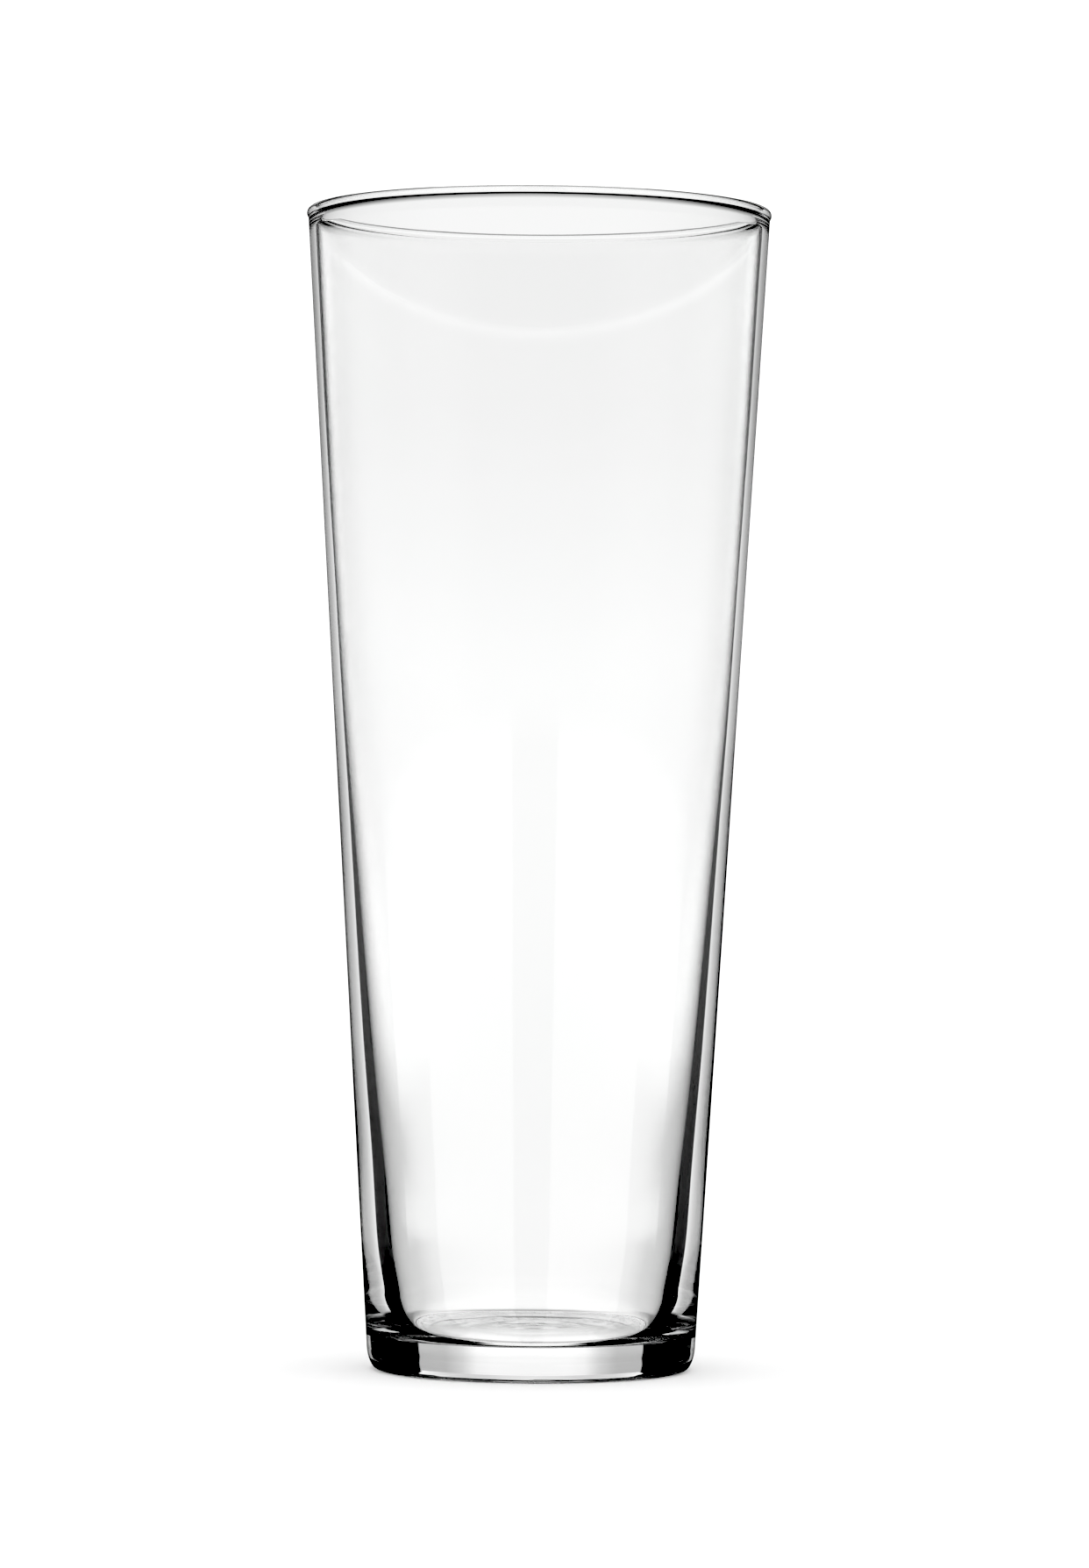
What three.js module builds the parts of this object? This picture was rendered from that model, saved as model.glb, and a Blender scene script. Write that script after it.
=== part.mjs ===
// Tall conical pint glass: one blown and pressed body of clear soda-lime glass.
// Millimetres, +Z up. The origin is the centre of the ring that the glass stands on.
import * as THREE from "three";

// Driving dimensions
const HEIGHT = 196; // standing plane to the top of the lip
const FOOT_RADIUS = 27.5; // outer cone, carried down to the standing plane
const MOUTH_RADIUS = 39.05; // outer cone, carried up to the top of the lip
const FOOT_CORNER = { width: 2.1, height: 4.5 }; // quarter ellipse where the side turns under
const RING_INNER = 21.5; // inner edge of the flat ring it stands on
const PUNT_DEPTH = 0.9; // rise of the shallow hollow under the foot
const BEAD_RADIUS = 0.85; // fire-polished lip, a full round
const BEAD_PROUD = 0.25; // how far that round stands out past the cone
const FLOOR = 5.7; // thickness of the glass under the drink
const HEEL_HEIGHT = 7.5; // how far up the wall the inside corner reaches
const HEEL_WIDTH = 2.4; // how far in over the floor it reaches
const FACETS = 72; // round the axis
const CURVE_STEPS = 4; // chords to each curve of the outline, twice that on an arc

// The wall thins from the heel to the lip: [height, thickness across the wall].
const WALL = [
  [FLOOR + HEEL_HEIGHT, 5.6],
  [20, 5],
  [32, 4.5],
  [53, 3.45],
  [82, 2.55],
  [112, 1.7],
  [150, 1.38],
];

const taper = (MOUTH_RADIUS - FOOT_RADIUS) / HEIGHT;
const outerRadius = (z) => FOOT_RADIUS + taper * z;

// Half section in (distance from the axis, height), anticlockwise from the middle of the underside.
function section() {
  const outline = new THREE.Path();
  outline.moveTo(0, PUNT_DEPTH);
  outline.quadraticCurveTo(RING_INNER / 2, PUNT_DEPTH, RING_INNER, 0);

  // Foot corner: an ellipse that touches both the standing plane and the outer cone.
  const { width, height } = FOOT_CORNER;
  const meetsCone = -Math.atan((taper * height) / width);
  const cornerCentre = outerRadius(height + height * Math.sin(meetsCone)) - width * Math.cos(meetsCone);
  outline.lineTo(cornerCentre, 0);
  outline.absellipse(cornerCentre, height, width, height, -Math.PI / 2, meetsCone, false, 0);

  // Lip: the cone runs into the round a little below its widest point.
  const beadCentre = MOUTH_RADIUS + BEAD_PROUD - BEAD_RADIUS;
  const neckAngle = -Math.acos((BEAD_RADIUS - BEAD_PROUD) / BEAD_RADIUS);
  outline.absarc(beadCentre, HEIGHT - BEAD_RADIUS, BEAD_RADIUS, neckAngle, Math.PI, false);

  // Inside of the wall, down to the heel.
  const inside = WALL.map(([z, thickness]) => new THREE.Vector2(outerRadius(z) - thickness, z));
  outline.splineThru(inside.reverse());

  // Heel and floor: the curve leaves the wall along its own slope.
  const [above, heel] = inside.slice(-2);
  const turnsAt = heel.x + ((FLOOR - heel.y) * (above.x - heel.x)) / (above.y - heel.y);
  outline.quadraticCurveTo(turnsAt, FLOOR, turnsAt - HEEL_WIDTH, FLOOR);
  outline.lineTo(0, FLOOR);
  return outline;
}

const glass = new THREE.MeshStandardMaterial({
  name: "clear_glass",
  color: 0xf4f8f6,
  roughness: 0.02,
  metalness: 0,
  transparent: true,
  opacity: 0.35,
});

const body = new THREE.Mesh(
  new THREE.LatheGeometry(section().getPoints(CURVE_STEPS), FACETS).rotateX(Math.PI / 2),
  glass,
);
body.name = "glass_body";

const pintGlass = new THREE.Group();
pintGlass.name = "pint_glass";
pintGlass.add(body);

export default pintGlass;
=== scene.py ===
"""Tall conical pint glass on a pale floor, against white. The glass has a lighting rig of its own,
which studio_world describes.

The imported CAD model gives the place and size. Its faceted body is replaced here by a finely
turned one with the same section, plus what forming leaves in real glass: slow waves in the
wall, ripples on the inside of the floor, and a scuffed ring where it stands.
"""
import math

import bpy
from mathutils import Matrix, Vector, noise


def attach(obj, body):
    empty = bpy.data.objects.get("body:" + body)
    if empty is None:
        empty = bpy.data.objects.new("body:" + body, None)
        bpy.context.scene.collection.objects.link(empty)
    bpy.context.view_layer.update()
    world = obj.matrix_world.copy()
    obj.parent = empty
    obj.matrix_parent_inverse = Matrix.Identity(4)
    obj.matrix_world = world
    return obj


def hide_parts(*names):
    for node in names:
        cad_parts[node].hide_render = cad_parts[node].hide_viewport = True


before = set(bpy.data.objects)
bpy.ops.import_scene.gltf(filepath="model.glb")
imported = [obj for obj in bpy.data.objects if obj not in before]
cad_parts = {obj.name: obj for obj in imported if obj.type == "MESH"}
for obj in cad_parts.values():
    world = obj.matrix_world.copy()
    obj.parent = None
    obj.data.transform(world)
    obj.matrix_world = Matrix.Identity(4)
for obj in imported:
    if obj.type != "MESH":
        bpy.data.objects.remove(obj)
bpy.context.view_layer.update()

MM = 0.001

# Section of the glass in millimetres, as the CAD model has it.
HEIGHT = 196.0  # standing plane to the top of the lip
FOOT_RADIUS = 27.5  # outer cone, carried down to the standing plane
MOUTH_RADIUS = 39.05  # outer cone, carried up to the top of the lip
FOOT_CORNER = (2.1, 4.5)  # width and height of the quarter ellipse where the side turns under
RING_INNER = 21.5  # inner edge of the flat ring it stands on
PUNT_DEPTH = 0.9  # rise of the shallow hollow under the foot
BEAD_RADIUS = 0.85  # fire-polished lip, a full round
BEAD_PROUD = 0.25  # how far that round stands out past the cone
FLOOR = 5.7  # thickness of the glass under the drink
HEEL_HEIGHT = 7.5  # how far up the wall the inside corner reaches
HEEL_WIDTH = 2.4  # how far in over the floor it reaches
WALL = (  # height and thickness across the wall, from the heel to the lip
    (FLOOR + HEEL_HEIGHT, 5.6),
    (20.0, 5.0),
    (32.0, 4.5),
    (53.0, 3.45),
    (82.0, 2.55),
    (112.0, 1.7),
    (150.0, 1.38),
)
TURNS = 288  # steps round the axis
CURVE_STEPS = 24  # along the hollow underneath, and round the foot corner
RING_STEPS = 6  # across the standing ring
SIDE_STEPS = 80  # up the outside
LIP_STEPS = 28  # round the lip
WALL_STEPS = 18  # between two knots of the inside of the wall
HEEL_STEPS = 20
FLOOR_STEPS = 40

TAPER = (MOUTH_RADIUS - FOOT_RADIUS) / HEIGHT


# ---------------------------------------------------------------- outline of the section
def outer_radius(z):
    return FOOT_RADIUS + TAPER * z


def line(start, end, steps):
    """Points after start, up to and including end."""
    return [
        (start[0] + (end[0] - start[0]) * i / steps, start[1] + (end[1] - start[1]) * i / steps)
        for i in range(1, steps + 1)
    ]


def arc(centre, radii, first, last, steps):
    """Points of an elliptical arc after its first angle, up to and including its last."""
    angles = [first + (last - first) * i / steps for i in range(1, steps + 1)]
    return [
        (centre[0] + radii[0] * math.cos(a), centre[1] + radii[1] * math.sin(a)) for a in angles
    ]


def bezier(start, control, end, steps):
    """Points of a quadratic curve after start, up to and including end."""
    made = []
    for i in range(1, steps + 1):
        t = i / steps
        made.append(
            tuple(
                (1 - t) ** 2 * a + 2 * (1 - t) * t * b + t * t * c
                for a, b, c in zip(start, control, end)
            )
        )
    return made


def spline(knots, steps):
    """Points of a Catmull-Rom curve through the knots, after the first."""
    made = []
    for i in range(len(knots) - 1):
        p0, p1 = knots[max(i - 1, 0)], knots[i]
        p2, p3 = knots[i + 1], knots[min(i + 2, len(knots) - 1)]
        for j in range(1, steps + 1):
            t = j / steps
            made.append(
                tuple(
                    b
                    + t * (c - a) / 2
                    + t * t * (a - 2.5 * b + 2 * c - d / 2)
                    + t**3 * (1.5 * (b - c) + (d - a) / 2)
                    for a, b, c, d in zip(p0, p1, p2, p3)
                )
            )
    return made


def section():
    """(distance from the axis, height) in mm from the middle of the underside round to the middle
    of the floor, and the number of the first point that is on the inside."""
    outline = [(0.0, PUNT_DEPTH)]
    outline += bezier(outline[0], (RING_INNER / 2, PUNT_DEPTH), (RING_INNER, 0.0), CURVE_STEPS)
    width, height = FOOT_CORNER
    meets_cone = -math.atan(TAPER * height / width)
    meets_at = height + height * math.sin(meets_cone)
    corner = (outer_radius(meets_at) - width * math.cos(meets_cone), height)
    outline += line(outline[-1], (corner[0], 0.0), RING_STEPS)
    outline += arc(corner, FOOT_CORNER, -math.pi / 2, meets_cone, CURVE_STEPS)

    bead = (MOUTH_RADIUS + BEAD_PROUD - BEAD_RADIUS, HEIGHT - BEAD_RADIUS)
    neck = -math.acos((BEAD_RADIUS - BEAD_PROUD) / BEAD_RADIUS)
    neck_point = (bead[0] + BEAD_RADIUS * math.cos(neck), bead[1] + BEAD_RADIUS * math.sin(neck))
    outline += line(outline[-1], neck_point, SIDE_STEPS)
    outline += arc(bead, (BEAD_RADIUS, BEAD_RADIUS), neck, math.pi, LIP_STEPS)

    inside_from = len(outline) - 1
    knots = [outline[-1]] + [(outer_radius(z) - thickness, z) for z, thickness in reversed(WALL)]
    outline += spline(knots, WALL_STEPS)
    heel, above = knots[-1], knots[-2]
    turns_at = heel[0] + (FLOOR - heel[1]) * (above[0] - heel[0]) / (above[1] - heel[1])
    outline += bezier(heel, (turns_at, FLOOR), (turns_at - HEEL_WIDTH, FLOOR), HEEL_STEPS)
    outline += line(outline[-1], (0.0, FLOOR), FLOOR_STEPS)
    return outline, inside_from


# ---------------------------------------------------------------- forming marks, in millimetres
SLOW_WAVE = 0.03  # height of the long waves in the wall
BAND_WAVE = 0.006  # height of the short bands round it
LIP_FADE = 12.0  # the waves die out over this height under the lip
RIPPLE = 0.035  # height of the floor's rings
RIPPLE_SPACING = 5.2
RIPPLE_CENTRE = (1.5, -1.0)
RIPPLE_WANDER = 1.6  # how far a ring strays from its circle
RIPPLE_START = 3.0  # the rings die out inside this radius


def wall_wave(x, y, z):
    """Slow unevenness of the inside of the wall, which the outside mould doesn't iron out."""
    slow = noise.noise(Vector((x / 26, y / 26, z / 60 + 7)))
    bands = noise.noise(Vector((x / 90, y / 90, z / 5.5 + 31)))
    return SLOW_WAVE * slow + BAND_WAVE * bands


def floor_ripple(x, y):
    """Rings that the plunger's chill leaves on the inside of the floor, a little off centre."""
    wander = RIPPLE_WANDER * noise.noise(Vector((x / 9, y / 9, 3)))
    ring = math.hypot(x - RIPPLE_CENTRE[0], y - RIPPLE_CENTRE[1]) + wander
    return RIPPLE * math.cos(2 * math.pi * ring / RIPPLE_SPACING)


# ---------------------------------------------------------------- the glass body
def turned_body():
    outline, inside_from = section()
    vertices = []
    rings = []
    for number, (radius, height) in enumerate(outline):
        start = len(vertices)
        if radius < 1e-6:
            vertices.append((0.0, 0.0, height * MM))
            rings.append([start])
            continue
        for step in range(TURNS):
            angle = 2 * math.pi * step / TURNS
            x, y, z = radius * math.cos(angle), radius * math.sin(angle), height
            if number > inside_from:
                on_wall = min(1.0, max(0.0, (height - FLOOR) / HEEL_HEIGHT))
                near_lip = min(1.0, (HEIGHT - BEAD_RADIUS - height) / LIP_FADE)
                out = on_wall * near_lip * wall_wave(x, y, z)
                x += out * math.cos(angle)
                y += out * math.sin(angle)
                z += (1 - on_wall) * floor_ripple(x, y) * min(1.0, radius / RIPPLE_START)
            vertices.append((x * MM, y * MM, z * MM))
        rings.append(list(range(start, start + TURNS)))

    faces = []
    for low, high in zip(rings, rings[1:]):
        for step in range(TURNS):
            following = (step + 1) % TURNS
            if len(low) == 1:
                faces.append((low[0], high[following], high[step]))
            elif len(high) == 1:
                faces.append((low[step], low[following], high[0]))
            else:
                faces.append((low[step], low[following], high[following], high[step]))

    mesh = bpy.data.meshes.new("pint_glass_body")
    mesh.from_pydata(vertices, [], faces)
    mesh.shade_smooth()
    body = bpy.data.objects.new("pint_glass_body", mesh)
    bpy.context.scene.collection.objects.link(body)
    return body


# ---------------------------------------------------------------- materials
def new_material(name):
    material = bpy.data.materials.new(name)
    material.use_nodes = True
    return material, material.node_tree, material.node_tree.nodes["Principled BSDF"]


INDEX = 1.52  # refractive index of soda-lime glass
TINT = ((0.990, 0.993, 0.991, 1), (0.998, 0.998, 0.998, 1))  # the palest green, in soft patches
CORD_HEIGHT = 0.000006  # metres


def clear_glass():
    """Polished glass with faint cords, a scuffed standing ring and a rubbed corner."""
    material, tree, shader = new_material("clear_glass")
    nodes, links = tree.nodes, tree.links
    shader.inputs["Transmission Weight"].default_value = 1.0
    shader.inputs["IOR"].default_value = INDEX
    sums = Sums(tree)
    place = nodes.new("ShaderNodeTexCoord").outputs["Object"]
    split = nodes.new("ShaderNodeSeparateXYZ")
    links.new(place, split.inputs[0])
    height = split.outputs["Z"]

    def grain(scale, detail, stretch=(1, 1, 1)):
        mapping = nodes.new("ShaderNodeMapping")
        mapping.inputs["Scale"].default_value = stretch
        links.new(place, mapping.inputs["Vector"])
        texture = nodes.new("ShaderNodeTexNoise")
        texture.inputs["Scale"].default_value = scale
        texture.inputs["Detail"].default_value = detail
        links.new(mapping.outputs[0], texture.inputs["Vector"])
        return texture.outputs["Fac"]

    tint = nodes.new("ShaderNodeValToRGB")
    for element, position, color in zip(tint.color_ramp.elements, (0.3, 0.7), TINT):
        element.position = position
        element.color = color
    links.new(grain(22, 2), tint.inputs["Fac"])
    links.new(tint.outputs["Color"], shader.inputs["Base Color"])

    # Wear: the ring that slides on tables is frosted, and its corner has a few rubbed spots.
    ring = sums.graph(height, ((0.0001, 1), (0.0006, 0)))
    scuffs = sums.graph(grain(700, 4), ((0.42, 0.06), (0.62, 0.4)))
    frosted = sums.do("MULTIPLY", ring, scuffs)
    corner = sums.graph(height, ((0.0006, 1), (0.0035, 0)))
    spots = sums.graph(grain(420, 3, (1, 1, 0.4)), ((0.6, 0), (0.75, 0.12)))
    rubbed = sums.do("MULTIPLY", corner, spots)
    links.new(sums.do("MAXIMUM", frosted, rubbed), shader.inputs["Roughness"])

    # Cords: streaks of slightly different flow that run round the body.
    bump = nodes.new("ShaderNodeBump")
    bump.inputs["Strength"].default_value = 1.0
    bump.inputs["Distance"].default_value = CORD_HEIGHT
    links.new(grain(9, 2, (1, 1, 28)), bump.inputs["Height"])
    links.new(bump.outputs["Normal"], shader.inputs["Normal"])
    return material


def floor_material():
    material, _, shader = new_material("pale_floor")
    shader.inputs["Base Color"].default_value = (0.9, 0.9, 0.9, 1)
    shader.inputs["Roughness"].default_value = 0.6
    return material


# ---------------------------------------------------------------- studio
class Sums:
    """Arithmetic on sockets and numbers in a node tree."""

    def __init__(self, tree):
        self.tree = tree

    def do(self, operation, *values):
        node = self.tree.nodes.new("ShaderNodeMath")
        node.operation = operation
        for socket, value in zip(node.inputs, values):
            if isinstance(value, (int, float)):
                socket.default_value = value
            else:
                self.tree.links.new(value, socket)
        return node.outputs[0]

    def mix(self, share, first, second):
        kept = self.do("MULTIPLY", self.do("SUBTRACT", 1.0, share), first)
        return self.do("ADD", kept, self.do("MULTIPLY", share, second))

    def times(self, first, second):
        return self.do("MULTIPLY", first, second)

    def without(self, value, share):
        """The value less a share of it."""
        return self.do("MULTIPLY", value, self.do("SUBTRACT", 1.0, share))

    def graph(self, value, points):
        """Straight lines through (value, result) points, held level beyond both ends."""
        low, high = points[0][0], points[-1][0]
        scale = max(result for _, result in points) or 1.0
        share = self.do("DIVIDE", self.do("SUBTRACT", value, low), high - low)
        ramp = self.tree.nodes.new("ShaderNodeValToRGB")
        self.tree.links.new(share, ramp.inputs["Fac"])
        elements = ramp.color_ramp.elements
        while len(elements) < len(points):
            elements.new(0.5)
        for element, (at, result) in zip(elements, points):
            element.position = (at - low) / (high - low)
            level = result / scale
            element.color = (level, level, level, 1)
        return self.do("MULTIPLY", ramp.outputs["Color"], scale)


# The rig by direction from the glass, in degrees. Straight behind it is azimuth 0 and straight in
# front 180, the same on both sides; level is elevation 0. Graphs are (angle, result) points. All
# of them were set by comparing renders with the photograph.
OUTLOOK = (
    (-90, 0.95), (-12, 0.95), (-6, 0.97), (-2, 1.0), (1, 1.0), (4, 0.9), (8, 0.87), (90, 0.87),
)
GROUND = ((-72, 1.05), (-62, 0))  # pale patch straight below
FRONT_AND_SIDES = ((73.5, 106.5), (148.5, 180))  # spans of separate panels

# Met by light that crossed the hollow: a sweep, brighter at the sides, dimmer below the lip.
SWEEP = 1.14
SWEEP_SIDES = (
    (1, 0.0), (3.2, 0.07), (7.4, 0.38), (9.5, 0.74), (11.5, 1.4), (14, 2.1), (35, 2.1), (60, 0.0),
)
SIDES_GAIN = ((-90, 0.97), (-8.5, 0.9), (-5, 1.13), (0, 1.32), (5, 1.75), (90, 1.75))
LIP_SHADE = (((40, 0.55), (50, 0)), ((-62, 0), (-58, 1), (-34, 1), (-30, 0)))

# Met by light that crossed solid glass: the back panel, cut off above and below.
BACK_PANEL = (
    (0, 1.14), (9, 1.14), (13, 1.08), (17, 0.8), (22, 0.62), (31.3, 0.62), (32.0, 0.0),
)
EVEN = 1.05  # level at the elevations where the share of the panels below is 0
PANEL_SHARE = (
    (-25, 1), (-24, 0), (-19, 0), (-18, 1), (-14.5, 1), (-13.5, 0), (-7, 0), (-6, 1),
)
CEILING_CUT = ((13.5, 1), (18, 0))
UNDER_LIP = (((40, 1), (50, 0)), ((-30, 1), (-26, 0)))

# Met by light turned back inside the wall: soft sides, other panels lower down, and the back.
SOFT_SIDES = ((90, 0.0), (130, 0.45), (180, 0.45))
LOWER_PANELS = ((-9, ((73.5, 166),)), (-14, ((104, 166),)))  # each below its elevation
BLEND = 1  # half the elevation over which one row gives way to the next
WALL_CUT = ((3, 1), (5, 0))
BACK_IN_WALL = (
    (0, 0.9), (6, 0.85), (10, 0.78), (16, 0.75), (22, 0.8), (27, 0.95), (31.3, 1.08), (32.0, 0.0),
)
BACK_HEIGHT = ((-27, 0), (-25, 1), (16, 1), (21, 0))
NARROWING = ((-6, 1.0), (0, 1.06), (3, 1.2))

VEIL = ((10, 0.3), (26, 1.35))  # met by light that crossed the hollow and was turned back
BACKDROP = 1.2  # what the camera and the floor see
ROOM = 0.004  # what the surface reflects


def panels(spans, level=1.1, edge=0.8):
    """Light levels of separate panels, as points of a graph."""
    points = [(-2 * edge, 0.0)]
    for start, end in spans:
        points += [(start - edge, 0.0), (start, level), (end, level), (end + edge, 0.0)]
    return tuple(point for point in points if point[0] <= 180)


def studio_world():
    """Surroundings by direction and by the way light took through the glass, so this is a rig and
    not one real room. Light that crosses the hollow in four steps meets a pale sweep all round.
    Light that crosses solid glass in two steps, or is turned back inside it, meets panels with
    dark gaps between them, and the gaps draw the edges. The surface reflects only a dim room,
    and the camera sees plain white beyond the glass."""
    world = bpy.data.worlds.new("studio")
    bpy.context.scene.world = world
    world.use_nodes = True
    world.cycles.sampling_method = "NONE"
    tree = world.node_tree
    nodes, links = tree.nodes, tree.links
    nodes.clear()
    sums = Sums(tree)

    split = nodes.new("ShaderNodeSeparateXYZ")
    links.new(nodes.new("ShaderNodeTexCoord").outputs["Generated"], split.inputs[0])
    aside = sums.do("ABSOLUTE", split.outputs["X"])
    azimuth = sums.do("DEGREES", sums.do("ARCTAN2", aside, split.outputs["Y"]))
    elevation = sums.do("DEGREES", sums.do("ARCSINE", split.outputs["Z"]))

    def spot(graphs):
        """A graph by azimuth times one by elevation."""
        return sums.times(sums.graph(azimuth, graphs[0]), sums.graph(elevation, graphs[1]))

    sides = sums.times(sums.graph(elevation, SIDES_GAIN), SWEEP)
    hollow = sums.mix(sums.graph(azimuth, SWEEP_SIDES), SWEEP, sides)
    hollow = sums.without(hollow, spot(LIP_SHADE))

    back = sums.graph(azimuth, BACK_PANEL)
    window = sums.do("ADD", back, sums.graph(azimuth, panels(FRONT_AND_SIDES)))
    solid = sums.mix(sums.graph(elevation, PANEL_SHARE), EVEN, window)
    solid = sums.times(solid, sums.graph(elevation, CEILING_CUT))
    solid = sums.without(solid, spot(UNDER_LIP))

    wall = sums.graph(azimuth, SOFT_SIDES)
    for top, spans in LOWER_PANELS:
        below = sums.graph(elevation, ((top - BLEND, 1), (top + BLEND, 0)))
        wall = sums.mix(below, wall, sums.graph(azimuth, panels(spans)))
    wall = sums.times(wall, sums.graph(elevation, WALL_CUT))
    narrowed = sums.times(azimuth, sums.graph(elevation, NARROWING))
    behind = sums.times(sums.graph(narrowed, BACK_IN_WALL), sums.graph(elevation, BACK_HEIGHT))
    wall = sums.do("ADD", wall, behind)

    # How the ray went through: Glossy Depth counts its reflections and Transmission Depth the
    # surfaces it crossed.
    path = nodes.new("ShaderNodeLightPath").outputs
    turned_back = sums.do("GREATER_THAN", path["Glossy Depth"], 0.5)
    through_four = sums.do("GREATER_THAN", path["Transmission Depth"], 2.5)
    through_two_walls = sums.mix(turned_back, hollow, sums.graph(elevation, VEIL))
    level = sums.mix(through_four, sums.mix(turned_back, solid, wall), through_two_walls)
    level = sums.do("MAXIMUM", level, sums.graph(elevation, GROUND))
    level = sums.times(level, sums.graph(elevation, OUTLOOK))

    glass = sums.times(path["Is Transmission Ray"], level)
    room = sums.times(path["Is Glossy Ray"], ROOM)
    lit_floor = sums.do("GREATER_THAN", path["Diffuse Depth"], 0.5)
    plain = sums.do("MAXIMUM", path["Is Camera Ray"], lit_floor)
    seen = sums.times(plain, BACKDROP)
    others = sums.without(sums.do("ADD", glass, room), plain)

    light = nodes.new("ShaderNodeBackground")
    light.inputs["Color"].default_value = (1, 1, 1, 1)
    links.new(sums.do("ADD", seen, others), light.inputs["Strength"])
    links.new(light.outputs[0], nodes.new("ShaderNodeOutputWorld").inputs["Surface"])


FLOOR_RADIUS = 0.5  # metres
FLOOR_SIDES = 96


def pale_floor():
    """Round floor. It takes the glass's shadow, and isn't seen in or through the glass."""
    mesh = bpy.data.meshes.new("floor")
    rim = [2 * math.pi * i / FLOOR_SIDES for i in range(FLOOR_SIDES)]
    corners = [(FLOOR_RADIUS * math.cos(a), FLOOR_RADIUS * math.sin(a), 0) for a in rim]
    mesh.from_pydata(corners, [], [range(FLOOR_SIDES)])
    floor = bpy.data.objects.new("floor", mesh)
    bpy.context.scene.collection.objects.link(floor)
    mesh.materials.append(floor_material())
    floor.visible_transmission = False
    floor.visible_glossy = False
    return floor


LAMP_AIM = (0, 0, 0.1)


def softbox(name, place, size, power):
    light = bpy.data.lights.new(name, "AREA")
    light.shape = "DISK"
    light.size = size
    light.energy = power
    lamp = bpy.data.objects.new(name, light)
    bpy.context.scene.collection.objects.link(lamp)
    lamp.location = place
    aim = Vector(LAMP_AIM) - Vector(place)
    lamp.rotation_euler = aim.to_track_quat("-Z", "Y").to_euler()
    lamp.visible_transmission = False
    lamp.visible_glossy = False
    return lamp


def camera():
    """A long lens about a metre away, level with the middle of the glass, so that it looks slightly
    up at the lip and slightly down at the foot."""
    eye = Vector((0, -0.98, 0.09))
    aim = Vector((0.0016, 0, 0.0989))
    roll = math.radians(0.43)
    data = bpy.data.cameras.new("camera")
    data.lens = 133.0
    data.sensor_width = 36
    data.clip_start = 0.1
    data.clip_end = 20
    cam = bpy.data.objects.new("camera", data)
    bpy.context.scene.collection.objects.link(cam)
    facing = (aim - eye).to_track_quat("-Z", "Y").to_matrix().to_4x4()
    cam.matrix_world = Matrix.Translation(eye) @ facing @ Matrix.Rotation(roll, 4, "Z")
    bpy.context.scene.camera = cam


BLACK_LEVEL = (0.065, 0.065, 0.065)  # deepens the dark tones

scene = bpy.context.scene
scene.view_settings.view_transform = "Standard"
scene.view_settings.use_curve_mapping = True
scene.view_settings.curve_mapping.black_level = BLACK_LEVEL
scene.cycles.max_bounces = 32
scene.cycles.glossy_bounces = 24
scene.cycles.transmission_bounces = 32

body = turned_body()
body.data.materials.append(clear_glass())
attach(body, "root")
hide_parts("glass_body")

studio_world()
pale_floor()
softbox("overhead", (0, 0, 1.6), 2.0, 15.0)
camera()
